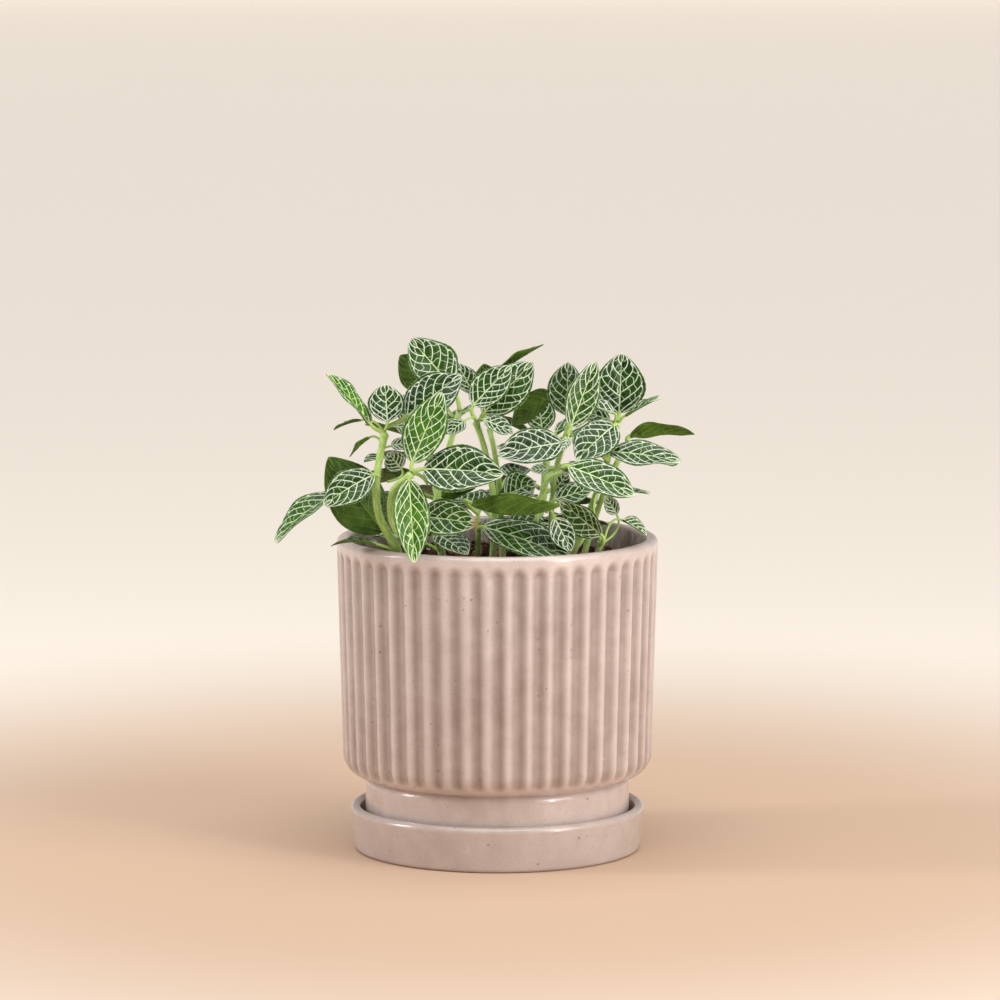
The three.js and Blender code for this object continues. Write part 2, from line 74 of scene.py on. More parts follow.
# node, point on the stem, blade base, blade tip, width, direction the upper face looks,
# bend along the midrib and fold across it in degrees; a stem's name means a leaf of that node
LEAVES = [
    ["leaf_01", [-41, -40, 161], [-46, -40, 164], [-62, -44, 183], 14, [8, -3, 6], 12, 12],
    ["stem_a", [-41, -40, 160], [-50, -32, 165], [-60, -31, 161], 8, [-2, 1, 9], 25, 10],
    ["stem_a", [-42, -40, 157], [-47, -37, 159], [-54, -39, 152], 6, [-3, 2, 5], 20, 10],
    ["leaf_04", [-41, -41, 162], [-40, -41, 165], [-41, -34, 178], 14, [0, -8, 5], 8, 10],
    ["leaf_05", [-14, -20, 167], [-17, -21, 176], [-32, -19, 193], 19, [2, -9, 4], 15, 8],
    ["leaf_06", [-40, -39, 163], [-33, -38, 167], [-13, -32, 181], 18, [-2, -8, 5], 12, 10],
    ["leaf_07", [-16, -18, 164], [-25, -10, 174], [-36, -8, 186], 14, [-3, 8, 4], 10, 8],
    ["leaf_08", [-31, -50, 148], [-31, -50, 151], [-20, -44, 176], 16, [-1, -9, 3], 10, 12],
    ["leaf_09", [-30, -50, 148], [-27, -51, 149], [2, -60, 148], 20, [0, -8, 5], 18, 8],
    ["leaf_10", [-32, -50, 147], [-32, -51, 145], [-30, -62, 116], 14, [1, -9, 2], 10, 10],
    ["leaf_11", [-34, -43, 128], [-29, -46, 131], [-7, -53, 129], 15, [0, -8, 5], 14, 8],
    ["leaf_12", [-43, -43, 145], [-45, -43, 146], [-63, -47, 135], 15, [-3, -8, 4], 30, 8],
    ["leaf_13", [-45, -39, 140], [-59, -38, 138], [-81, -43, 121], 17, [-6, -4, 7], 34, 14],
    ["leaf_14", [-37, -33, 115], [-42, -30, 123], [-62, -34, 151], 22, [-6, 7, 4], 10, 5],
    ["leaf_15", [-40, -41, 143], [-35, -36, 147], [-40, -35, 153], 9, [-2, -9, 1], 5, 8],
    ["stem_a", [-42, -41, 152], [-39, -30, 155], [-31, -30, 156], 6, [0, -7, 6], 10, 8],
    ["stem_a", [-41, -40, 160], [-37, -33, 163], [-30, -33, 158], 6, [0, -5, 7], 15, 8],
    ["leaf_19", [-38, -37, 117], [-44, -38, 120], [-61, -37, 119], 10, [0, 0, 9], 40, 8],
    ["leaf_20", [-8, -22, 164], [-9, -23, 169], [5, -18, 183], 14, [-1, -9, 4], 10, 10],
    ["leaf_21", [-6, -19, 163], [-5, -20, 166], [13, -14, 184], 17, [2, -9, 4], 10, 10],
    ["leaf_22", [-3, -10, 160], [-2, -6, 179], [17, -6, 190], 10, [0, 2, 9], 8, 8],
    ["stem_m", [-3, -8, 158], [-3, -1, 171], [-5, 0, 182], 11, [0, 8, 5], 8, 8],
    ["stem_d", [-13, -19, 166], [-9, -8, 172], [-15, -6, 183], 9, [3, -8, 3], 8, 8],
    ["stem_c", [-8, -20, 163], [-12, -27, 164], [-18, -29, 159], 8, [-4, -7, 6], 12, 10],
    ["stem_c", [-7, -20, 163], [-5, -24, 164], [6, -25, 159], 9, [0, -6, 8], 12, 10],
    ["leaf_27", [26, -26, 156], [24, -28, 156], [0, -36, 152], 16, [0, -8, 6], 14, 8],
    ["leaf_28", [22, -23, 148], [20, 0, 171], [5, -6, 160], 14, [-3, 7, 5], 12, 8],
    ["leaf_29", [25, -22, 158], [26, -13, 164], [26, -12, 184], 16, [-4, -8, 2], 8, 10],
    ["leaf_30", [26, -25, 158], [27, -24, 161], [36, -20, 185], 13, [3, -9, 2], 10, 12],
    ["stem_f", [22, -24, 147], [19, -20, 145], [12, -21, 145], 5, [0, -6, 6], 10, 5],
    ["leaf_32", [-7, -33, 124], [-5, -37, 126], [27, -44, 115], 19, [0, -6, 8], 14, 8],
    ["leaf_33", [-7, -32, 130], [-9, -46, 136], [23, -46, 135], 20, [0, 4, 9], -50, 32],
    ["stem_j", [-7, -32, 127], [-4, -33, 134], [15, -32, 137], 9, [0, -2, 9], 12, 10],
    ["leaf_35", [0, -22, 130], [3, -26, 136], [14, -27, 141], 15, [-3, -7, 3], 14, 8],
    ["stem_c", [-1, -22, 126], [1, -18, 133], [9, -18, 138], 9, [0, 7, 6], 10, 8],
    ["leaf_37", [18, -30, 130], [21, -30, 135], [35, -30, 139], 10, [0, -7, 6], 12, 8],
    ["leaf_38", [38, -35, 119], [38, -38, 123], [23, -38, 136], 13, [-3, -9, -3], 12, 18],
    ["leaf_39", [18, -33, 134], [21, -44, 130], [27, -45, 118], 10, [0, -9, 3], 10, 8],
    ["stem_f", [19, -22, 130], [21, -22, 137], [26, -22, 144], 8, [2, -7, 4], 10, 8],
    ["leaf_42", [44, -16, 162], [45, -14, 165], [46, -10, 187], 19, [0, -9, 3], 10, 8],
    ["leaf_43", [45, -17, 162], [47, -18, 165], [60, -22, 172], 9, [-1, -2, 9], 10, 10],
    ["leaf_44", [43, -17, 162], [43, -18, 166], [30, -18, 169], 10, [0, -4, 9], 12, 25],
    ["stem_g", [43, -16, 160], [42, -9, 162], [29, -10, 166], 11, [-1, -5, 7], 10, 8],
    ["leaf_45", [43, -19, 160], [43, -24, 162], [29, -34, 150], 17, [-2, -8, 5], 14, 8],
    ["leaf_46", [41, -20, 148], [41, -30, 153], [67, -38, 150], 14, [0, -6, 8], 14, 8],
    ["leaf_47", [48, -15, 155], [49, -14, 157], [73, -18, 158], 12, [1, 5, 8], 22, 10],
    ["leaf_48", [24, -41, 148], [26, -42, 149], [50, -50, 139], 15, [1, -7, 6], 14, 8],
    ["stem_i", [38, -34, 120], [41, -29, 139], [56, -27, 137], 7, [0, -2, 9], 10, 8],
    ["stem_i", [38, -33, 119], [44, -27, 129], [40, -26, 136], 6, [-2, -8, 2], 10, 20],
    ["leaf_50", [39, -35, 119], [46, -32, 128], [55, -32, 122], 8, [-2, -3, 9], 16, 35],
    ["leaf_61", [20, 26, 150], [22, 30, 153], [42, 38, 163], 17, [-4, -1, 8], 14, 8],
    ["leaf_62", [17, 27, 150], [14, 32, 152], [-4, 44, 158], 17, [4, 2, 8], 14, 8],
    ["leaf_63", [20, 27, 136], [22, 34, 138], [36, 58, 132], 18, [3, 6, 7], 20, 8],
    ["leaf_64", [16, 27, 132], [10, 36, 134], [0, 62, 126], 18, [0, 6, 7], 20, 8],
    ["leaf_65", [-27, 23, 150], [-30, 24, 152], [-50, 30, 156], 17, [3, 1, 8], 14, 8],
    ["leaf_66", [-24, 25, 150], [-20, 30, 155], [-12, 50, 160], 16, [-2, 2, 8], 14, 8],
    ["leaf_67", [-26, 25, 134], [-32, 28, 138], [-54, 44, 130], 18, [-4, 6, 7], 20, 8],
    ["leaf_68", [-22, 26, 128], [-22, 34, 132], [-22, 62, 122], 18, [0, 6, 7], 20, 8],
    ["leaf_69", [44, -12, 146], [48, -6, 148], [68, 12, 144], 17, [3, -2, 8], 18, 8],
    ["stem_f", [26, -24, 158], [26, -28, 158], [24, -30, 153], 4, [-3, -8, 2], 8, 5],
    ["stem_f", [26, -24, 158], [28, -27, 158], [31, -29, 154], 4, [2, -8, 3], 8, 5],
    ["stem_d", [-21, -19, 114], [-22, -27, 122], [-11, -41, 116], 14, [1, -4, 7], 14, 8],
    ["stem_d", [-22, -20, 130], [-22, -15, 135], [-6, -14, 141], 15, [-1, 6, 5], 14, 8],
    ["stem_c", [-1, -23, 120], [4, -18, 124], [20, -10, 122], 16, [1, -5, 7], 14, 8],
    ["stem_c", [-1, -22, 126], [-6, -14, 130], [-16, 2, 132], 15, [-2, -3, 8], 16, 8],
    ["stem_k", [-24, 22, 142], [-32, 19, 146], [-50, 12, 144], 16, [-3, -1, 8], 18, 8],
    ["stem_k", [-26, 24, 148], [-24, 18, 152], [-18, 2, 156], 14, [-2, -3, 8], 14, 8],
    ["stem_k", [-22, 20, 128], [-34, 14, 132], [-52, 2, 128], 16, [-4, -1, 8], 20, 8],
    ["stem_l", [19, 26, 148], [26, 20, 153], [42, 14, 156], 16, [2, -2, 8], 16, 8],
    ["stem_l", [17, 22, 130], [28, 26, 134], [50, 36, 128], 17, [4, 3, 8], 20, 8],
    ["stem_l", [17, 22, 128], [8, 16, 132], [-6, 8, 130], 15, [-1, -2, 8], 16, 8],
    ["stem_m", [1, -10, 134], [4, 0, 140], [10, 14, 142], 12, [2, 1, 9], 16, 8],
    ["stem_g", [34, -14, 128], [38, -4, 131], [30, 12, 128], 14, [1, 2, 8], 18, 8],
    ["stem_l", [19, 25, 148], [17, 23, 154], [15, 23, 169], 12, [-1, -7, 4], 12, 8],
    ["stem_k", [-25, 23, 146], [-29, 22, 153], [-36, 26, 168], 13, [2, -6, 5], 12, 8],
    ["stem_k", [-20, 18, 119], [-27, 23, 123], [-40, 35, 120], 15, [-3, 4, 8], 18, 8],
    ["stem_l", [14, 18, 118], [22, 26, 122], [34, 42, 117], 15, [3, 4, 8], 18, 8],
    ["stem_k", [-18, 16, 116], [-19, 25, 119], [-22, 42, 116], 12, [0, 4, 8], 18, 8],
    ["stem_l", [18, 24, 142], [14, 18, 146], [0, 8, 150], 13, [-2, -3, 8], 14, 8],
    ["stem_l", [13, 18, 116], [21, 19, 120], [42, 22, 119], 15, [2, 1, 9], 18, 8],
    ["stem_g", [29, -11, 114], [32, -3, 117], [36, 14, 119], 13, [0, 2, 9], 18, 8],
    ["stem_d", [-20, -18, 113], [-27, -15, 117], [-46, -10, 119], 14, [-2, 0, 9], 18, 8],
    ["stem_d", [-21, -19, 117], [-25, -9, 122], [-34, 6, 122], 14, [-2, 2, 9], 18, 8],
    ["stem_m", [2, -6, 114], [-2, 2, 118], [-2, 20, 121], 13, [-1, 1, 9], 18, 8],
    ["stem_m", [2, -7, 118], [8, -2, 122], [24, 4, 123], 13, [1, 1, 9], 18, 8],
    ["stem_k", [-17, 15, 113], [-25, 12, 117], [-44, 10, 117], 13, [-2, 0, 9], 18, 8],
    ["stem_l", [18, 24, 138], [27, 22, 142], [45, 24, 140], 14, [3, 1, 8], 16, 8],
    ["stem_k", [-23, 21, 132], [-18, 28, 136], [-8, 42, 135], 14, [1, 3, 8], 16, 8],
    ["stem_l", [16, 21, 124], [10, 28, 126], [2, 42, 122], 13, [0, 3, 8], 16, 8],
]

# How bright (young) a leaf is, where it differs from the plain dark green of the rest
YOUTH = {
    "leaf_01": 0.8, "leaf_08": 0.55, "leaf_10": 0.7, "leaf_14": 0.6, "leaf_13": 0.35,
    "leaf_30": 0.3, "leaf_04": 0.05, "leaf_09": 0.1, "leaf_28": 0.3, "leaf_48": 0.25,
}
SCORCHED = {"leaf_11": 1.0}


def soil_height(x, y):
    return SOIL_EDGE + SOIL_CROWN * (1 - (x * x + y * y) / SOIL_RADIUS ** 2)


def unit(v):
    v = np.asarray(v, float)
    return v / np.linalg.norm(v)


def smooth(t):
    t = np.clip(t, 0, 1)
    return t * t * (3 - 2 * t)


# ---------------------------------------------------------------- meshes

def grid_faces(rows, columns, closed=False, flip=False, first=0):
    """Quads between neighbouring rows of vertices; closed joins the last column to the first."""
    last = columns if closed else columns - 1
    i, j = np.meshgrid(np.arange(rows - 1), np.arange(last), indexing="ij")
    next_j = (j + 1) % columns
    quads = np.stack([i * columns + j, i * columns + next_j,
                      (i + 1) * columns + next_j, (i + 1) * columns + j], -1).reshape(-1, 4)
    if flip:
        quads = quads[:, ::-1]
    return quads + first


def make_object(name, points, faces, attributes=None, uv=None, merge=0.0):
    """Mesh object from points in millimetres; attributes are one value or vector per vertex."""
    mesh = bpy.data.meshes.new(name)
    mesh.from_pydata((np.asarray(points) * MM).tolist(), [], [list(map(int, f)) for f in faces])
    for key, values in (attributes or {}).items():
        values = np.asarray(values, np.float32)
        kind = "FLOAT" if values.ndim == 1 else "FLOAT_VECTOR"
        layer = mesh.attributes.new(key, kind, "POINT")
        layer.data.foreach_set("value" if values.ndim == 1 else "vector", values.ravel())
    if uv is not None:
        layer = mesh.uv_layers.new(name="OFBake")
        corner = np.zeros(len(mesh.loops), np.int32)
        mesh.loops.foreach_get("vertex_index", corner)
        layer.data.foreach_set("uv", np.asarray(uv, np.float32)[corner].ravel())
    if merge:
        work = bmesh.new()
        work.from_mesh(mesh)
        bmesh.ops.remove_doubles(work, verts=work.verts, dist=merge)
        work.to_mesh(mesh)
        work.free()
    mesh.shade_smooth()
    piece = bpy.data.objects.new(name, mesh)
    bpy.context.scene.collection.objects.link(piece)
    return piece


def finish_piece(piece, node, material):
    piece.data.materials.append(material)
    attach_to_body(piece, "root")
    if node:
        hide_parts(node)
    return piece


def carry_normals(points, normal):
    """Tangent, normal and side along a path, with no twist."""
    along = np.gradient(points, axis=0)
    along /= np.linalg.norm(along, axis=1)[:, None]
    normals = []
    current = np.asarray(normal, float)
    for direction in along:
        current = unit(current - direction * (current @ direction))
        normals.append(current)
    normals = np.array(normals)
    return along, normals, np.cross(along, normals)


def tube_points(path, radii, normal, sides):
    _, normals, side = carry_normals(path, normal)
    angle = np.linspace(0, 2 * np.pi, sides, endpoint=False)
    cos, sin = np.cos(angle)[None, :, None], np.sin(angle)[None, :, None]
    ring = cos * normals[:, None] + sin * side[:, None]
    return path[:, None] + ring * np.asarray(radii)[:, None, None]


def spline(points, steps):
    """Uniform Catmull-Rom curve through the points, as in the CAD."""
    p = np.asarray(points, float)
    p = np.vstack([2 * p[0] - p[1], p, 2 * p[-1] - p[-2]])
    out = []
    for t in np.linspace(0, len(p) - 3, steps + 1):
        k = min(int(t), len(p) - 4)
        f = t - k
        a, b, c, d = p[k:k + 4]
        out.append(0.5 * (2 * b + (c - a) * f + (2 * a - 5 * b + 4 * c - d) * f * f
                          + (3 * b - a - 3 * c + d) * f ** 3))
    return np.array(out)


# ---------------------------------------------------------------- leaves

LEAF_ROWS = 64
LEAF_COLUMNS = 40
BLADE_THICKNESS = 0.35
TIP_TAPER = 0.32
PETIOLE_RADIUS = 0.75
PETIOLE_ROWS = 16
PETIOLE_SIDES = 10


def blade_outline(u):
    """Half width along the midrib, as a share of half the full width."""
    return np.sin(np.pi * np.clip(u, 0, 1) ** 0.9) ** 0.6 * (1 - TIP_TAPER * u ** 4)


def midrib(leaf, u):
    """Point, normal, tangent and side of the arc from base to tip at each u."""
    _, _, base, tip, _, face, bend, _ = leaf
    base = np.array(base, float)
    chord = np.array(tip, float) - base
    length = np.linalg.norm(chord)
    along = chord / length
    up = unit(np.array(face, float) - along * (along @ np.array(face, float)))
    angle = math.radians(bend)
    radius = length / (2 * math.sin(angle / 2))
    turn = angle * (u - 0.5)
    sin, cos = np.sin(turn)[:, None], np.cos(turn)[:, None]
    point = base + chord / 2 + along * radius * sin + up * radius * (cos - math.cos(angle / 2))
    return point, up * cos + along * sin, along * cos - up * sin, np.cross(along, up)


def vein_field(u, v, length, half, pairs, offset):
    """Index along the row of side veins, and the millimetres that one index step is wide."""
    across = np.abs(v)
    sweep = 0.24 * across + 0.14 * across ** 2 + 0.10 * across ** 7
    slope = 0.24 + 0.28 * across + 0.70 * across ** 6
    index = pairs * (u - sweep) + offset
    width = np.maximum(half * blade_outline(u), 0.4)
    taper = half * np.gradient(blade_outline(u[:, 0]), u[:, 0])[:, None]
    dx = -pairs * slope / width
    dy = (pairs - dx * taper * across) / length
    return index, 1 / np.maximum(np.hypot(dx, dy), 0.05)


def make_leaf(leaf, name, seed):
    _, attach, base, tip, width, _, _, fold = leaf
    rng = np.random.default_rng(seed)
    length = float(np.linalg.norm(np.array(tip) - np.array(base)))
    half = width / 2
    u = (1 - np.cos(np.pi * np.linspace(0, 1, LEAF_ROWS))) / 2
    u = 0.35 * np.linspace(0, 1, LEAF_ROWS) + 0.65 * u
    v = np.sin(np.linspace(-np.pi / 2, np.pi / 2, LEAF_COLUMNS + 1))
    v = 0.6 * np.linspace(-1, 1, LEAF_COLUMNS + 1) + 0.4 * v
    point, normal, tangent, side = midrib(leaf, u)
    uu, vv = np.meshgrid(u, v, indexing="ij")
    wobble = 1 + 0.025 * np.sin(uu * 9 + rng.uniform(0, 6)) * np.sign(vv) * np.abs(vv)
    x = half * blade_outline(uu) * vv * wobble
    angle = math.radians(abs(fold))
    if fold < 0:
        sideways, lift = x, -math.sin(angle) * x * x / half
    else:
        sideways, lift = x * math.cos(angle), (np.sqrt(x * x + 1.4) - 1.18) * math.sin(angle)
    pairs = 4.4 + min(length, 32) / 17 + rng.uniform(-0.25, 0.25)
    offset = np.where(vv > 0, 0.0, rng.uniform(0.1, 0.35))
    index, step = vein_field(uu, vv, length, half, pairs, offset)
    size = min(1.0, length / 22)
    quilt = 0.42 * size * np.abs(np.sin(np.pi * index)) ** 0.8
    quilt *= smooth(np.abs(x) / 2.0) * (1 - np.abs(vv) ** 6)
    phase = rng.uniform(0, 6, 3)
    ripple = 0.45 * size * vv ** 4 * np.sin(uu * 11 + phase[0] + 1.3 * np.sign(vv))
    ripple += 0.35 * size * vv ** 2 * np.sin(uu * 5 + phase[1] + vv)
    groove = -0.35 * size * np.exp(-(x / 0.7) ** 2) * (1 - uu)
    height = lift + quilt + ripple + groove
    surface = point[:, None] + side * sideways[..., None] + normal[:, None] * height[..., None]
    below = BLADE_THICKNESS * (1 - np.abs(vv) ** 10)
    below += 0.75 * size * np.exp(-(x / 0.75) ** 2) * (1 - uu) ** 0.7
    under = surface - normal[:, None] * below[..., None]

    rows, columns = LEAF_ROWS, LEAF_COLUMNS + 1
    points = [surface.reshape(-1, 3), under.reshape(-1, 3)]
    faces = [grid_faces(rows, columns, flip=True), grid_faces(rows, columns, first=rows * columns)]
    flat = np.stack([x, uu * length, np.full_like(x, seed % 97)], -1).reshape(-1, 3)
    place = [np.stack([uu, vv, np.full_like(uu, s)], -1).reshape(-1, 3) for s in (1, -1)]
    veins = np.stack([index, step, half * blade_outline(uu)], -1).reshape(-1, 3)
    uv_top = np.stack([0.25 + 0.23 * vv, 0.13 + 0.85 * uu], -1).reshape(-1, 2)

    reach = np.linalg.norm(point[0] - np.array(attach, float))
    t = np.linspace(0, 1, PETIOLE_ROWS)[:, None]
    pull = point[0] - tangent[0] * reach / 2
    start, end = np.array(attach, float), point[0] + tangent[0] * 0.8
    path = start * (1 - t) ** 2 + 2 * pull * t * (1 - t) + end * t * t
    path -= normal[0] * 0.35 * t
    radii = PETIOLE_RADIUS * max(size, 0.55) * (1.15 - 0.25 * t[:, 0])
    stalk = tube_points(path, radii, normal[0] + 1e-3, PETIOLE_SIDES)
    first = 2 * rows * columns
    faces.append(grid_faces(PETIOLE_ROWS, PETIOLE_SIDES, closed=True, first=first))
    points.append(stalk.reshape(-1, 3))
    count = PETIOLE_ROWS * PETIOLE_SIDES
    ring = np.tile(np.arange(PETIOLE_SIDES) / PETIOLE_SIDES, PETIOLE_ROWS)
    down = np.repeat(np.linspace(0, 1, PETIOLE_ROWS), PETIOLE_SIDES)
    caps = [[first + k for k in range(PETIOLE_SIDES)][::-1],
            [first + count - PETIOLE_SIDES + k for k in range(PETIOLE_SIDES)]]
    faces = [list(f) for block in faces for f in block] + caps
    attributes = {
        "blade": np.vstack([place[0], place[1], np.tile([0.0, 0.0, 0.0], (count, 1))]),
        "flat": np.vstack([flat, flat + [0, 0, 50],
                           np.stack([ring * 4, down * reach, ring * 0], -1)]),
        "veins": np.vstack([veins, veins, np.tile([0.0, 1.0, 1.0], (count, 1))]),
    }
    uv_stalk = np.stack([0.02 + 0.9 * down, 0.02 + 0.08 * ring], -1)
    uv = np.vstack([uv_top, uv_top + [0.5, 0], uv_stalk])
    return make_object(name, np.vstack(points), faces, attributes, uv, merge=2e-6)


# ---------------------------------------------------------------- materials

class Value:
    """A shader socket or number with arithmetic, so that a node graph reads as a formula."""

    def __init__(self, tree, socket):
        self.tree, self.socket = tree, socket

    def math(self, operation, *others, clamp=False):
        node = self.tree.nodes.new("ShaderNodeMath")
        node.operation = operation
        node.use_clamp = clamp
        for socket, value in zip(node.inputs, (self, *others)):
            if isinstance(value, Value):
                self.tree.links.new(value.socket, socket)
            else:
                socket.default_value = value
        return Value(self.tree, node.outputs[0])

    def __add__(self, other):
        return self.math("ADD", other)

    def __sub__(self, other):
        return self.math("SUBTRACT", other)

    def __mul__(self, other):
        return self.math("MULTIPLY", other)

    def __truediv__(self, other):
        return self.math("DIVIDE", other)

    def inverse(self):
        return (self * -1) + 1

    def absolute(self):
        return self.math("ABSOLUTE")

    def floor(self):
        return self.math("FLOOR")

    def fraction(self):
        return self.math("FRACT")

    def largest(self, other):
        return self.math("MAXIMUM", other)

    def ramp(self, low, high, start=0.0, end=1.0):
        """Smooth step from start to end as the value goes from low to high."""
        node = self.tree.nodes.new("ShaderNodeMapRange")
        node.interpolation_type = "SMOOTHSTEP"
        for socket, value in zip(node.inputs, (self, low, high, start, end)):
            if isinstance(value, Value):
                self.tree.links.new(value.socket, socket)
            else:
                socket.default_value = value
        return Value(self.tree, node.outputs[0])


class Graph:
    """Node material around one Principled shader."""

    def __init__(self, name, **settings):
        self.material = bpy.data.materials.new(name)
        self.material.use_nodes = True
        self.tree = self.material.node_tree
        self.shader = self.tree.nodes["Principled BSDF"]
        for key, value in settings.items():
            self.shader.inputs[key.replace("_", " ")].default_value = value

    def node(self, kind, inputs=None, **settings):
        node = self.tree.nodes.new(kind)
        for key, value in settings.items():
            setattr(node, key, value)
        for key, value in (inputs or {}).items():
            self.feed(node.inputs[key], value)
        return node

    def feed(self, socket, value):
        if isinstance(value, Value):
            self.tree.links.new(value.socket, socket)
        elif isinstance(value, bpy.types.NodeSocket):
            self.tree.links.new(value, socket)
        else:
            socket.default_value = value

    def value(self, socket):
        return Value(self.tree, socket)

    def attribute(self, name):
        node = self.node("ShaderNodeAttribute", attribute_name=name)
        split = self.node("ShaderNodeSeparateXYZ", {0: node.outputs["Vector"]})
        return node, [self.value(s) for s in split.outputs]

    def noise(self, vector, scale, detail=3.0, roughness=0.5, dimensions="3D"):
        inputs = {"Vector": vector, "Scale": scale, "Detail": detail, "Roughness": roughness}
        node = self.node("ShaderNodeTexNoise", inputs, noise_dimensions=dimensions)
        return self.value(node.outputs[0])

    def vector(self, x=0.0, y=0.0, z=0.0):
        node = self.node("ShaderNodeCombineXYZ", {0: x, 1: y, 2: z})
        return node.outputs[0]

    def mix(self, factor, a, b, blend="MIX"):
        node = self.node("ShaderNodeMix", data_type="RGBA", blend_type=blend)
        self.feed(node.inputs[0], factor)
        self.feed(node.inputs[6], a)
        self.feed(node.inputs[7], b)
        return node.outputs[2]

    def bump(self, height, distance, strength=1.0, under=None):
        inputs = {"Height": height, "Distance": distance, "Strength": strength}
        if under is not None:
            inputs["Normal"] = under
        return self.node("ShaderNodeBump", inputs).outputs[0]

    def done(self, colour=None, roughness=None, normal=None):
        for key, value in (("Base Color", colour), ("Roughness", roughness), ("Normal", normal)):
            if value is not None:
                self.feed(self.shader.inputs[key], value)
        return self.material


def rgb(red, green, blue):
    """Linear colour from 0-255 display values."""
    def linear(c):
        c /= 255
        return c / 12.92 if c <= 0.04045 else ((c + 0.055) / 1.055) ** 2.4
    return (linear(red), linear(green), linear(blue), 1.0)


def leaf_material(name, youth, scorched=0.0):
    g = Graph(name, Specular_IOR_Level=0.30, Subsurface_Weight=0.04, Subsurface_Scale=0.001)
    g.shader.inputs["Subsurface Radius"].default_value = (0.6, 1.0, 0.2)
    _, (u, v, side) = g.attribute("blade")
    flat_node, (x, y, seed) = g.attribute("flat")
    _, (index, step, reach) = g.attribute("veins")
    across = v.absolute()
    top = side.ramp(0.2, 0.8)
    blade = side.absolute().ramp(0.2, 0.8)

    shake = g.noise(flat_node.outputs["Vector"], 0.35, 2.0)
    band = index + (shake - 0.5) * 0.16
    to_side_vein = ((band.fraction() - 0.5).absolute() * -1 + 0.5) * step
    core, fringe = across.ramp(0.0, 1.0, 0.11, 0.05), across.ramp(0.0, 1.0, 0.28, 0.17)
    side_vein = to_side_vein.ramp(core, fringe, 1.0, 0.0)
    side_vein = side_vein * across.ramp(0.84, 0.93, 1.0, 0.0)
    rib_half = u.ramp(0.0, 1.0, 0.28, 0.07)
    main_vein = x.absolute().ramp(rib_half * 0.7, rib_half * 1.3, 1.0, 0.0)

    lane_key = g.vector(band.floor(), v.math("SIGN"), seed)
    lane = g.node("ShaderNodeTexWhiteNoise", {"Vector": lane_key})
    chance = g.node("ShaderNodeSeparateColor", {0: lane.outputs["Color"]})
    shift, stretch, lean = [g.value(s) for s in chance.outputs]
    wander = g.noise(flat_node.outputs["Vector"], 0.32, 0.0)
    inner = band.fraction() - 0.5
    spacing = stretch * 0.9 + 2.0
    ladder = (x.absolute() * 0.8 + y * 0.5 + wander * 3.2) / spacing
    ladder = ladder + shift * 5 + inner * (lean - 0.3)
    to_rung = ((ladder.fraction() - 0.5).absolute() * -1 + 0.5) * spacing
    rung = to_rung.ramp(0.05, 0.17, 0.72, 0.0) * across.ramp(0.86, 0.95, 1.0, 0.0)
    loop = (band * math.pi).math("SINE").absolute()
    rim_line = (across - (loop * 0.07 + 0.80)).absolute() * reach
    rim_vein = rim_line.ramp(0.07, 0.20, 1.0, 0.0)
    net = side_vein.largest(rim_vein * 0.8).largest(rung)
    veins = main_vein.largest(net * across.ramp(0.97, 1.0, 1.0, 0.0))

    patch = g.noise(flat_node.outputs["Vector"], 0.12, 2.0)
    dark = g.mix(patch.ramp(0.3, 0.7), rgb(8, 28, 1), rgb(24, 58, 4))
    fresh = g.mix(patch.ramp(0.3, 0.7), rgb(52, 104, 6), rgb(84, 138, 18))
    green = g.mix(youth, dark, fresh)
    near_vein = to_side_vein.ramp(0.2, 1.0, 0.32, 0.0)
    green = g.mix(near_vein, green, rgb(54, 96, 14))
    dull = g.mix(across.ramp(0.0, 0.4), rgb(208, 224, 186), rgb(228, 238, 216))
    lively = g.mix(across.ramp(0.0, 0.4), rgb(206, 232, 140), rgb(230, 244, 196))
    pale = g.mix(youth, dull, lively)
    upper = g.mix(veins * 0.95, green, pale)
    upper = g.mix(across.ramp(0.975, 1.0), upper, rgb(40, 66, 24))
    # Underside green: partly the leaf's own underside colour, partly painted shade, darkened throughout for
    # undersides that face away from the light.
    underside_green_and_shade = g.mix(patch.ramp(0.3, 0.7), rgb(40, 66, 10), rgb(84, 118, 32))
    lower = g.mix(veins * 0.45, underside_green_and_shade, rgb(128, 160, 72))
    colour = g.mix(top, lower, upper)
    if scorched:
        colour = g.mix(u.ramp(0.88, 0.97, 0.0, scorched), colour, rgb(168, 128, 88))
    stalk = g.mix(g.noise(flat_node.outputs["Vector"], 0.8), rgb(150, 184, 84), rgb(192, 214, 130))
    colour = g.mix(blade, stalk, colour)

    grain = g.noise(flat_node.outputs["Vector"], 5.0, 2.0)
    roughness = (grain * 0.14 + 0.24) + veins * 0.12 + top.inverse() * 0.2
    relief = to_side_vein.ramp(0.0, 0.9) * 0.6 + to_rung.ramp(0.0, 0.5) * 0.4
    height = relief * top + veins * top.inverse() * 0.6 + grain * 0.12
    normal = g.bump(height, 0.00022, 0.7)
    return g.done(colour, roughness, normal)


def stem_material():
    g = Graph("stem_skin", Specular_IOR_Level=0.4, Sheen_Weight=0.35, Sheen_Roughness=0.5,
              Subsurface_Weight=0.15, Subsurface_Scale=0.002)
    _, (around, along, tall) = g.attribute("stem")
    streak = g.noise(g.vector(around * 3.0, along * 0.25, tall), 1.0, 3.0)
    fleck = g.noise(g.vector(around * 8.0, along * 2.0, tall), 1.0, 2.0)
    green = g.mix(streak.ramp(0.3, 0.7), rgb(138, 184, 68), rgb(194, 220, 130))
    colour = g.mix(along.ramp(0.0, 14.0, 0.6, 0.0), green, rgb(192, 186, 140))
    colour = g.mix(fleck.ramp(0.62, 0.74, 0.0, 0.6), colour, rgb(224, 226, 196))
    return g.done(colour, fleck * 0.2 + 0.42, g.bump(streak * 0.7 + fleck * 0.3, 0.0003, 0.6))


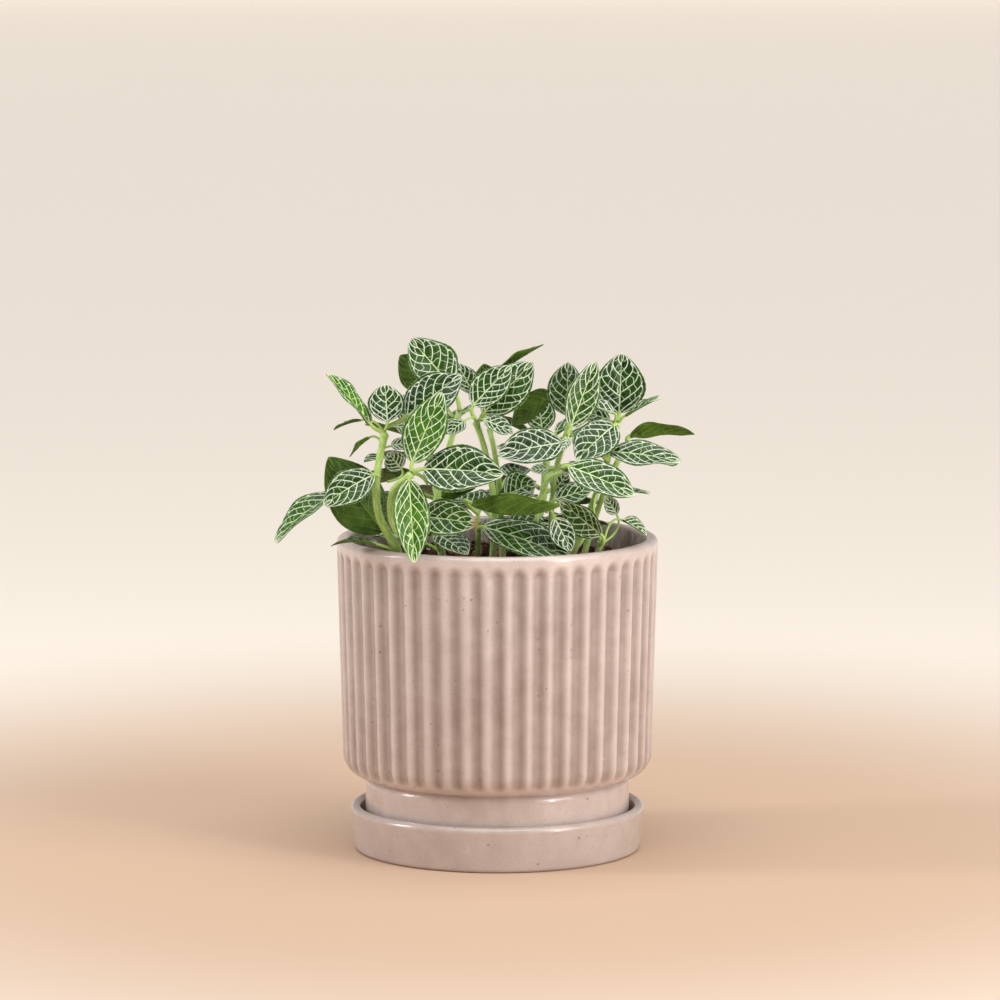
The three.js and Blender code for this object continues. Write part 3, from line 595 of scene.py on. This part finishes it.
def glaze_material(name, light, dark):
    g = Graph(name, Specular_IOR_Level=0.6, Coat_Weight=0.35, Coat_Roughness=0.06)
    where = g.node("ShaderNodeTexCoord").outputs["Object"]
    _, (crest_break_and_shade, _, _) = g.attribute("glaze")
    cloud = g.noise(where, 38.0, 3.0)
    drift = g.noise(where, 160.0, 3.0)
    # Grooves take the darker and rib crests the lighter glaze colour: partly the glaze breaking over the ribs,
    # partly painted shade in the grooves and painted light on the crests.
    tone = cloud.ramp(0.25, 0.75) * 0.2 + drift.ramp(0.3, 0.7) * 0.15 + crest_break_and_shade * 0.65
    colour = g.mix(tone, rgb(*dark), rgb(*light))
    spots = g.node("ShaderNodeTexVoronoi", {"Vector": where, "Scale": 330.0, "Randomness": 1.0})
    pick = g.node("ShaderNodeSeparateColor", {0: spots.outputs["Color"]})
    rare = g.value(pick.outputs[0]).ramp(0.80, 0.84)
    size = g.value(pick.outputs[1]).ramp(0.0, 1.0, 0.07, 0.20)
    speck = g.value(spots.outputs["Distance"]).ramp(size * 0.6, size, 1.0, 0.0) * rare
    colour = g.mix(speck * 0.62, colour, rgb(112, 84, 70))
    fine = g.node("ShaderNodeTexVoronoi", {"Vector": where, "Scale": 900.0})
    dust = g.value(fine.outputs["Distance"]).ramp(0.12, 0.24, 0.30, 0.0)
    colour = g.mix(dust, colour, rgb(128, 98, 84))
    pits = speck * -0.6 + drift * 0.5
    roughness = drift * 0.10 + speck * 0.2 + 0.20
    return g.done(colour, roughness, g.bump(pits, 0.0004, 0.5))


def soil_material(name, ramp_colours):
    g = Graph(name, Specular_IOR_Level=0.2)
    where = g.node("ShaderNodeTexCoord").outputs["Object"]
    _, (tone, _, _) = g.attribute("tone")
    rough = g.noise(where, 900.0, 4.0)
    first, second, third = [rgb(*c) for c in ramp_colours]
    colour = g.mix(tone.ramp(0.1, 0.6), first, second)
    colour = g.mix(tone.ramp(0.65, 0.95), colour, third)
    colour = g.mix(rough.ramp(0.35, 0.7, 0.5, 0.0), colour, rgb(30, 20, 13))
    return g.done(colour, rough * 0.15 + 0.8, g.bump(rough, 0.0008, 0.8))


def stage_material(name, floor, wall):
    g = Graph(name, Specular_IOR_Level=0.15)
    where = g.node("ShaderNodeTexCoord").outputs["Object"]
    reach = g.value(g.node("ShaderNodeVectorMath", {0: where}, operation="LENGTH").outputs["Value"])
    soft = g.noise(where, 0.8, 2.0)
    colour = g.mix(reach.ramp(0.15, 0.55), rgb(*floor), rgb(*wall))
    return g.done(g.mix(soft * 0.04, colour, rgb(200, 170, 140)), soft * 0.05 + 0.7)


# ---------------------------------------------------------------- pot, saucer, soil

def arc(cx, cz, radius, start, end, steps):
    """Points of an arc in the profile plane, angles in degrees from +radius towards +Z."""
    angles = np.radians(np.linspace(start, end, steps))
    return [(cx + radius * math.cos(a), cz + radius * math.sin(a)) for a in angles]


def revolve(name, profile, segments, offset=None):
    """Closed surface of revolution; offset(angle, r, z) moves a point outwards in mm."""
    profile = np.array(profile)
    angle = np.linspace(0, 2 * np.pi, segments, endpoint=False)
    radius = np.repeat(profile[:, :1], segments, 1)
    height = np.repeat(profile[:, 1:2], segments, 1)
    push = offset(angle[None], radius, height) if offset else np.zeros_like(radius)
    radius = radius + push
    points = np.stack([radius * np.cos(angle), radius * np.sin(angle), height], -1).reshape(-1, 3)
    rows = len(profile)
    faces = list(grid_faces(rows, segments, closed=True))
    faces += [list(range(segments))[::-1], [(rows - 1) * segments + k for k in range(segments)]]
    # 1 on the rib crests, 0 in the grooves; the glaze uses it for darker grooves and lighter crests, partly
    # glaze break and partly painted shade.
    crest_break_and_shade = 1 + np.clip(push, -1.1, 0) / 1.1
    glaze = np.stack([crest_break_and_shade, crest_break_and_shade * 0, crest_break_and_shade * 0], -1).reshape(-1, 3)
    return make_object(name, points, faces, {"glaze": glaze})


def rib_offset(angle, radius, height):
    phase = (angle * RIBS / (2 * np.pi)) % 1.0
    groove = (0.5 + 0.5 * np.cos(2 * np.pi * phase)) ** 0.85
    crown = np.abs(np.sin(np.pi * phase)) ** 2
    end = RIB_TOP - 1.0 * crown
    fade = smooth((end - height) / 4.5) * smooth((height - BODY_BOTTOM - 0.8) / 3.5)
    outside = smooth((radius - 52.5) / 1.5)
    return -RIB_DEPTH * groove * fade * outside


def make_pot():
    outer = [(FOOT_RADIUS - 1.4, FOOT_BOTTOM)]
    outer += arc(FOOT_RADIUS - 0.9, FOOT_BOTTOM + 0.9, 0.9, -90, 0, 5)
    outer += [(FOOT_RADIUS, z) for z in np.linspace(FOOT_BOTTOM + 3, BODY_BOTTOM - 0.7, 8)]
    outer += arc(FOOT_RADIUS + 0.7, BODY_BOTTOM - 0.7, 0.7, 180, 90, 4)
    outer += [(BODY_EDGE_RADIUS - 7.2 + 7.2 * math.sin(a), BODY_BOTTOM + 8.1 * (1 - math.cos(a)))
              for a in np.radians(np.linspace(5, 90, 18))]
    lean = (RIM_RADIUS - BODY_EDGE_RADIUS) / (RIM_HEIGHT - BODY_EDGE_HEIGHT)
    for z in np.concatenate([np.linspace(39, 106, 24), np.linspace(107.5, RIM_HEIGHT - 2.2, 18)]):
        outer.append((BODY_EDGE_RADIUS + lean * (z - BODY_EDGE_HEIGHT), z))
    outer += arc(RIM_RADIUS - 2.1, RIM_HEIGHT - 2.1, 2.1, 0, 90, 9)[1:]
    inner = RIM_RADIUS - WALL
    outer += arc(inner + 1.5, RIM_HEIGHT - 1.5, 1.5, 90, 180, 7)
    outer += [(inner, 110), (inner, 98), (53, 37), (WELL_RADIUS, 30)]
    outer += [(WELL_RADIUS, POT_FLOOR + 0.6), (WELL_RADIUS - 0.6, POT_FLOOR)]
    outer += [(DRAIN_RADIUS + 0.4, POT_FLOOR), (DRAIN_RADIUS, POT_FLOOR - 0.4), (DRAIN_RADIUS, FOOT_BOTTOM)]
    return revolve("pot_body", outer, RIBS * 12, rib_offset)


def make_saucer():
    inner = SAUCER_RADIUS - SAUCER_WALL
    profile = [(0.4, 0), (40, 0)]
    profile += arc(SAUCER_BOTTOM_RADIUS - 1.6, 1.6, 1.6, -90, -5, 7)
    flare = SAUCER_RADIUS - SAUCER_BOTTOM_RADIUS
    profile += [(SAUCER_BOTTOM_RADIUS + flare * t, 1.8 + 13.1 * t) for t in np.linspace(0.05, 0.97, 8)]
    profile += arc(SAUCER_RADIUS - 1.9, SAUCER_HEIGHT - 1.9, 1.9, 0, 180, 15)
    profile += [(inner - 0.3, 10), (inner - 0.6, 6)]
    profile += arc(inner - 2.1, 5.5, 1.5, 0, -90, 6)
    profile += [(30, SAUCER_FLOOR), (0.4, SAUCER_FLOOR)]
    return revolve("saucer_body", profile, 256)


def make_soil():
    rng = np.random.default_rng(5)
    rings, segments = 70, 180
    angle = np.linspace(0, 2 * np.pi, segments, endpoint=False)
    radius = np.linspace(0.3, SOIL_RADIUS - 0.1, rings)
    rr, aa = np.meshgrid(radius, angle, indexing="ij")
    x, y = rr * np.cos(aa), rr * np.sin(aa)
    z = soil_height(x, y)
    for scale, amount in ((0.18, 0.9), (0.45, 0.6), (1.1, 0.35)):
        for _ in range(5):
            direction = rng.uniform(0, 2 * np.pi)
            along = x * math.cos(direction) + y * math.sin(direction)
            wave = along * scale * rng.uniform(0.8, 1.4)
            z = z + amount * np.sin(wave + rng.uniform(0, 6)) / 4
    points = np.stack([x, y, z], -1).reshape(-1, 3)
    wall = [(SOIL_RADIUS - 0.4, 98), (52.6, 38), (WELL_RADIUS - 0.4, 31), (WELL_RADIUS - 0.4, POT_FLOOR + 0.4)]
    for r, height in wall:
        ring = np.stack([r * np.cos(angle), r * np.sin(angle), angle * 0 + height], -1)
        points = np.vstack([points, ring])
    rows = rings + len(wall)
    faces = [f[::-1] for f in grid_faces(rows, segments, closed=True)]
    faces += [list(range(segments)), [(rows - 1) * segments + k for k in range(segments)][::-1]]
    tone = np.stack([rng.random(len(points)) * 0.5] * 3, -1)
    return make_object("soil_bed", points, faces, {"tone": tone})


def make_crumbs(name, count, low, high, flat, seed, tones):
    """Loose bits on the soil: bark, fibre and grit as small broken lumps in one mesh."""
    rng = np.random.default_rng(seed)
    ball = bmesh.new()
    bmesh.ops.create_icosphere(ball, subdivisions=2, radius=1)
    shape = np.array([v.co for v in ball.verts])
    tris = [[v.index for v in f.verts] for f in ball.faces]
    ball.free()
    points, faces, tone = [], [], []
    for _ in range(count):
        reach = (SOIL_RADIUS - 2.5) * math.sqrt(rng.random())
        turn = rng.uniform(0, 2 * np.pi)
        size = low + (high - low) * rng.random() ** 2.5
        stretch = size * np.array([1, rng.uniform(0.4, 0.8), rng.uniform(*flat)])
        lump = shape * (1 + 0.28 * rng.standard_normal((len(shape), 1)).clip(-1.2, 1.2)) * stretch
        spin = np.array(Matrix.Rotation(rng.uniform(0, 6.3), 3, "Z")
                        @ Matrix.Rotation(rng.uniform(-0.6, 0.6), 3, "X"))
        x, y = reach * math.cos(turn), reach * math.sin(turn)
        centre = np.array([x, y, soil_height(x, y) + 0.25 * size])
        faces += [[i + len(points) * len(shape) for i in t] for t in tris]
        points.append(lump @ spin.T + centre)
        tone.append(np.full((len(shape), 3), rng.uniform(*tones)))
    piece = make_object(name, np.vstack(points), faces, {"tone": np.vstack(tone)})
    piece.data.shade_flat()
    return piece


# ---------------------------------------------------------------- stems

def stem_path(stem, steps=72):
    points = [list(p) for p in stem[3]]
    points[0][2] = soil_height(points[0][0], points[0][1]) - 1.5
    return spline(points, steps)


def joints_on(stem, path):
    """Where leaves leave a stem, as distances along it."""
    run = np.concatenate([[0], np.cumsum(np.linalg.norm(np.diff(path, axis=0), axis=1))])
    found = []
    for leaf in LEAVES:
        gaps = np.linalg.norm(path - np.array(leaf[1], float), axis=1)
        if gaps.min() < 4:
            found.append(run[int(gaps.argmin())])
    return run, found


def make_stem(stem, seed):
    name, foot, top, _ = stem
    path = stem_path(stem)
    run, joints = joints_on(stem, path)
    share = run / run[-1]
    radii = (foot + (top - foot) * share) * 0.92
    for place in joints:
        radii = radii * (1 + 0.10 * np.exp(-((run - place) / 1.6) ** 2))
    radii[-2:] *= (0.92, 0.6)
    sides = 20
    rings = tube_points(path, radii, (0, 1, 0), sides)
    ring = np.tile(np.linspace(0, 6.28, sides, endpoint=False), len(path))
    around = np.minimum(ring, 6.28 - ring)
    along = np.repeat(run, sides)
    faces = list(grid_faces(len(path), sides, closed=True))
    faces += [list(range(sides))[::-1], [(len(path) - 1) * sides + k for k in range(sides)]]
    stem_values = np.stack([around, along, np.full_like(along, seed)], -1)
    return make_object(name + "_skin", rings.reshape(-1, 3), faces, {"stem": stem_values})


def make_hairs(name, paths, seed):
    """Fine pale hairs that stand off the stems, as slim three-sided spikes in one mesh."""
    rng = np.random.default_rng(seed)
    points, faces = [], []
    for path, radius in paths:
        _, normals, sides = carry_normals(path, (0, 1, 0))
        count = int(len(path) * 9)
        for k, turn in zip(rng.integers(3, len(path) - 1, count), rng.uniform(0, 2 * np.pi, count)):
            out = normals[k] * math.cos(turn) + sides[k] * math.sin(turn)
            tip = out * rng.uniform(0.5, 1.0) + rng.standard_normal(3) * 0.12
            root = path[k] + (path[k + 1] - path[k]) * rng.random() + out * radius * 0.95
            start = len(points)
            for angle in (0, 2.09, 4.19):
                ring = normals[k] * math.sin(turn) - sides[k] * math.cos(turn)
                up = np.cross(out, ring)
                points.append(root + 0.035 * (ring * math.cos(angle) + up * math.sin(angle)))
            points.append(root + tip)
            faces += [[start, start + 1, start + 3], [start + 1, start + 2, start + 3],
                      [start + 2, start, start + 3], [start + 2, start + 1, start]]
    return make_object(name, np.array(points), faces)


def hair_material():
    g = Graph("stem_hair", Specular_IOR_Level=0.3)
    where = g.node("ShaderNodeTexCoord").outputs["Object"]
    shade = g.noise(where, 300.0, 2.0)
    return g.done(g.mix(shade, rgb(214, 220, 184), rgb(240, 242, 222)), shade * 0.1 + 0.5)


# ---------------------------------------------------------------- stage, light, camera

def make_stage():
    """Round pale floor, in metres, that turns up into a low pale wall well behind every camera."""
    reach, bend, wall_height = 9.0, 0.6, 1.2
    profile = [(r, 0.0) for r in (0.001, 0.3, 0.6, 1.5, 4.0, reach)]
    profile += [(reach + bend * math.sin(a), bend * (1 - math.cos(a)))
                for a in np.radians(np.arange(6, 91, 6))]
    profile += [(reach + bend, wall_height)]
    angle = np.linspace(0, 2 * np.pi, 128, endpoint=False)
    points = [[r * math.cos(a) / MM, r * math.sin(a) / MM, z / MM] for r, z in profile for a in angle]
    floor = make_object("floor", points, grid_faces(len(profile), len(angle), closed=True))
    floor.data.materials.append(stage_material("floor_paper", (199, 170, 146), (235, 225, 213)))


def softbox(name, place, target, width, height, power, colour):
    light = bpy.data.lights.new(name, "AREA")
    light.shape = "RECTANGLE"
    light.size, light.size_y = width, height
    light.energy = power
    light.color = colour
    lamp = bpy.data.objects.new(name, light)
    lamp.location = place
    lamp.visible_camera = False
    lamp.rotation_euler = (Vector(target) - Vector(place)).to_track_quat("-Z", "Y").to_euler()
    bpy.context.scene.collection.objects.link(lamp)


def make_light():
    middle = (0, 0, 0.12)
    softbox("key", (0.85, -0.62, 0.62), middle, 0.6, 0.85, 6.7, (1.0, 0.99, 0.97))
    softbox("strip", (0.74, -0.68, 0.2), (0, 0, 0.2), 0.05, 0.4, 2.2, (1.0, 1.0, 1.0))
    softbox("left_window", (-1.0, -0.12, 0.45), (0, 0, 0.2), 0.18, 0.5, 4.8, (0.97, 0.98, 1.0))
    sky = bpy.data.lights.new("sky", "SUN")
    sky.energy, sky.angle, sky.color = 2.3, math.radians(60), (1.0, 1.0, 1.0)
    lamp = bpy.data.objects.new("sky", sky)
    lamp.rotation_euler = (math.radians(8), 0, 0)
    bpy.context.scene.collection.objects.link(lamp)
    world = bpy.data.worlds.new("room")
    world.use_nodes = True
    world.node_tree.nodes["Background"].inputs["Color"].default_value = (1.0, 0.99, 0.96, 1)
    world.node_tree.nodes["Background"].inputs["Strength"].default_value = 0.28
    bpy.context.scene.world = world


def make_camera():
    distance, elevation, aim = 2.0, math.radians(7.3), Vector((0.001, 0, 0.131))
    camera = bpy.data.cameras.new("camera")
    camera.lens, camera.sensor_width = 193.2, 36
    camera.clip_end = 20
    eye = bpy.data.objects.new("camera", camera)
    eye.location = aim + distance * Vector((0, -math.cos(elevation), math.sin(elevation)))
    eye.rotation_euler = (aim - eye.location).to_track_quat("-Z", "Y").to_euler()
    bpy.context.scene.collection.objects.link(eye)
    bpy.context.scene.camera = eye


# ---------------------------------------------------------------- assembly

def main():
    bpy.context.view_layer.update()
    glaze = glaze_material("pot_glaze", (212, 194, 187), (148, 127, 118))
    saucer_glaze = glaze_material("saucer_glaze", (196, 180, 173), (148, 128, 119))
    finish_piece(make_pot(), "pot", glaze)
    finish_piece(make_saucer(), "saucer", saucer_glaze)
    earth = soil_material("potting_mix", [(44, 30, 20), (72, 50, 32), (104, 72, 44)])
    bark = soil_material("bark_bits", [(70, 44, 26), (128, 80, 44), (186, 124, 72)])
    perlite = soil_material("perlite", [(196, 188, 172), (214, 208, 196), (232, 228, 220)])
    finish_piece(make_soil(), "soil", earth)
    for material, crumbs in (
            (earth, ("soil_crumbs", 900, 0.6, 2.2, (0.4, 0.8), 11, (0.0, 0.7))),
            (bark, ("bark_chips", 260, 1.0, 3.6, (0.2, 0.45), 12, (0.2, 1.0))),
            (perlite, ("perlite_grit", 60, 0.5, 1.3, (0.6, 0.9), 13, (0.2, 1.0)))):
        finish_piece(make_crumbs(*crumbs), None, material)

    skin = stem_material()
    paths = []
    for number, stem in enumerate(STEMS):
        finish_piece(make_stem(stem, number), stem[0], skin)
        paths.append((stem_path(stem), (stem[1] + stem[2]) / 2))
    finish_piece(make_hairs("stem_hairs", paths, 21), None, hair_material())

    rng = random.Random(3)
    counts = {}
    for number, leaf in enumerate(LEAVES):
        node = leaf[0]
        counts[node] = counts.get(node, 0) + 1
        name = node + "_blade" if node.startswith("leaf") else f"{node}_leaflet_{counts[node]}"
        youth = YOUTH.get(node, rng.uniform(0.0, 0.3))
        material = leaf_material(name + "_skin", youth, SCORCHED.get(node, 0.0))
        finish_piece(make_leaf(leaf, name, number + 1), node, material)

    make_stage()
    make_light()
    make_camera()
    bpy.context.scene.view_settings.view_transform = "Standard"


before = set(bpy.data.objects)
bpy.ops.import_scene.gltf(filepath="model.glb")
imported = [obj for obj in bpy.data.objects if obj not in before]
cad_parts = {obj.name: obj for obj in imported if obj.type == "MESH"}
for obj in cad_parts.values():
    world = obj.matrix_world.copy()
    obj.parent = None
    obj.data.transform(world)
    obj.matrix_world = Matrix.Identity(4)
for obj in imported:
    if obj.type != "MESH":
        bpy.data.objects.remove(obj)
main()
